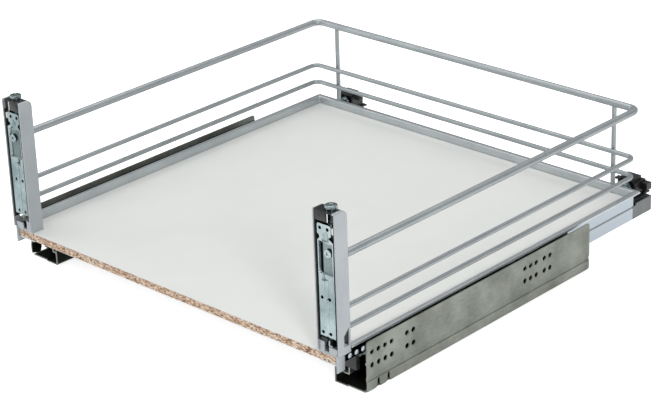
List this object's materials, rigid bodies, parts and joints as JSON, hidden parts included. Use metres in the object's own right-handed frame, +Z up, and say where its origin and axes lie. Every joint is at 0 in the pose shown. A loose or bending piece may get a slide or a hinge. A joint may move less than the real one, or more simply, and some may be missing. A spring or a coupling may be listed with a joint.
{
  "type": "pull-out cabinet basket",
  "caption": "Pull-out basket for a base cabinet: panel with wire gallery and front towers on side runners.",
  "frame": {"origin": "middle of the bounding box on the underside of the cabinet rails, in the closed pose", "axes": "+X to the right seen from the front, +Y from the front to the back, +Z up"},
  "size_m": [0.568, 0.593, 0.2278],
  "materials": {
    "satin_chrome": "satin chrome plating on steel",
    "frame_steel": "satin nickel-plated folded sheet",
    "galvanised": "galvanised sheet, matt",
    "zinc": "bright zinc plating",
    "tower_paint": "satin silver grey",
    "white_melamine": "white melamine-faced chipboard, raw front edge",
    "black_plastic": "matt black moulding",
    "grey_plastic": "matt dark grey moulding",
    "roller_plastic": "natural nylon",
    "screw_steel": "zinc-plated screw steel",
    "spring_steel": "bright spring wire"
  },
  "bodies": {
    "cabinet": {"cabinet_rail_left": "galvanised", "rail_stop_left": "galvanised", "cabinet_rail_right": "galvanised", "rail_stop_right": "galvanised"},
    "middle_left": {"middle_runner_left": "galvanised"},
    "upper_cage_left": {"upper_cage_left": "black_plastic", "upper_rollers_left": "roller_plastic"},
    "lower_cage_left": {"lower_cage_left": "black_plastic", "lower_rollers_left": "roller_plastic"},
    "thumb_wheel_left": {"thumb_wheel_left": "zinc"},
    "fixing_left": {"fixing_plate_left": "zinc"},
    "cam_left": {"cam_screw_left": "zinc"},
    "adjuster_left": {"adjuster_wheel_left": "zinc"},
    "middle_right": {"middle_runner_right": "galvanised"},
    "upper_cage_right": {"upper_cage_right": "black_plastic", "upper_rollers_right": "roller_plastic"},
    "lower_cage_right": {"lower_cage_right": "black_plastic", "lower_rollers_right": "roller_plastic"},
    "thumb_wheel_right": {"thumb_wheel_right": "zinc"},
    "fixing_right": {"fixing_plate_right": "zinc"},
    "cam_right": {"cam_screw_right": "zinc"},
    "adjuster_right": {"adjuster_wheel_right": "zinc"},
    "basket": {"adjuster_housing_left": "black_plastic", "adjuster_housing_right": "black_plastic", "back_post_left": "satin_chrome", "back_post_right": "satin_chrome", "back_rail": "frame_steel", "back_screws": "screw_steel", "catch_hook_left": "zinc", "catch_hook_right": "zinc", "drawer_runner_left": "galvanised", "drawer_runner_right": "galvanised", "foot_screws_left": "screw_steel", "foot_screws_right": "screw_steel", "lower_wire": "satin_chrome", "rear_bracket_left": "grey_plastic", "rear_bracket_right": "grey_plastic", "return_spring_left": "spring_steel", "return_spring_right": "spring_steel", "runner_cap_left": "black_plastic", "runner_cap_right": "black_plastic", "runner_screws_left": "screw_steel", "runner_screws_right": "screw_steel", "side_rail_left": "frame_steel", "side_rail_right": "frame_steel", "top_rail": "satin_chrome", "tower_block_left": "black_plastic", "tower_block_right": "black_plastic", "tower_foot_left": "tower_paint", "tower_foot_right": "tower_paint", "tower_housing_left": "tower_paint", "tower_housing_right": "tower_paint", "tower_liner_left": "black_plastic", "tower_liner_right": "black_plastic", "tray_panel": "white_melamine", "upper_wire": "satin_chrome"}
  },
  "joints": [
    {"name": "basket_slide", "type": "slide", "parent": "cabinet", "child": "basket", "axis": [0, -1, 0], "range_m": [0, 0.4]},
    {"name": "middle_left_slide", "type": "slide", "parent": "cabinet", "child": "middle_left", "axis": [0, -1, 0], "range_m": [-0.0005, 0.2005]},
    {"name": "upper_cage_left_slide", "type": "slide", "parent": "cabinet", "child": "upper_cage_left", "axis": [0, -1, 0], "range_m": [-0.0005, 0.3005]},
    {"name": "lower_cage_left_slide", "type": "slide", "parent": "cabinet", "child": "lower_cage_left", "axis": [0, -1, 0], "range_m": [-0.0005, 0.1005]},
    {"name": "middle_right_slide", "type": "slide", "parent": "cabinet", "child": "middle_right", "axis": [0, -1, 0], "range_m": [-0.0005, 0.2005]},
    {"name": "upper_cage_right_slide", "type": "slide", "parent": "cabinet", "child": "upper_cage_right", "axis": [0, -1, 0], "range_m": [-0.0005, 0.3005]},
    {"name": "lower_cage_right_slide", "type": "slide", "parent": "cabinet", "child": "lower_cage_right", "axis": [0, -1, 0], "range_m": [-0.0005, 0.1005]},
    {"name": "fixing_left_slide", "type": "slide", "parent": "basket", "child": "fixing_left", "axis": [0, 0, 1], "range_m": [-0.002, 0.002]},
    {"name": "thumb_wheel_left_turn", "type": "hinge", "parent": "basket", "child": "thumb_wheel_left", "pos_m": [-0.2585, -0.286, 0.2255], "axis": [0, 0, 1], "range_deg": [-361, 361]},
    {"name": "cam_left_turn", "type": "hinge", "parent": "fixing_left", "child": "cam_left", "pos_m": [-0.2595, -0.2955, 0.174], "axis": [0, 1, 0], "range_deg": [-90, 90]},
    {"name": "adjuster_left_turn", "type": "hinge", "parent": "basket", "child": "adjuster_left", "pos_m": [-0.24, 0.2735, 0.0523], "axis": [0, 1, 0], "range_deg": [-180, 180]},
    {"name": "fixing_right_slide", "type": "slide", "parent": "basket", "child": "fixing_right", "axis": [0, 0, 1], "range_m": [-0.002, 0.002]},
    {"name": "thumb_wheel_right_turn", "type": "hinge", "parent": "basket", "child": "thumb_wheel_right", "pos_m": [0.2585, -0.286, 0.2255], "axis": [0, 0, 1], "range_deg": [-361, 361]},
    {"name": "cam_right_turn", "type": "hinge", "parent": "fixing_right", "child": "cam_right", "pos_m": [0.2595, -0.2955, 0.174], "axis": [0, 1, 0], "range_deg": [-90, 90]},
    {"name": "adjuster_right_turn", "type": "hinge", "parent": "basket", "child": "adjuster_right", "pos_m": [0.24, 0.2735, 0.0523], "axis": [0, 1, 0], "range_deg": [-180, 180]}
  ],
  "couplings": [
    {"joint": "middle_left_slide", "follows": "basket_slide", "ratio": 0.5},
    {"joint": "upper_cage_left_slide", "follows": "basket_slide", "ratio": 0.75},
    {"joint": "lower_cage_left_slide", "follows": "basket_slide", "ratio": 0.25},
    {"joint": "middle_right_slide", "follows": "basket_slide", "ratio": 0.5},
    {"joint": "upper_cage_right_slide", "follows": "basket_slide", "ratio": 0.75},
    {"joint": "lower_cage_right_slide", "follows": "basket_slide", "ratio": 0.25},
    {"joint": "thumb_wheel_left_turn", "follows": "fixing_left_slide", "rad_per_m": -3141.6},
    {"joint": "thumb_wheel_right_turn", "follows": "fixing_right_slide", "rad_per_m": -3141.6}
  ]
}
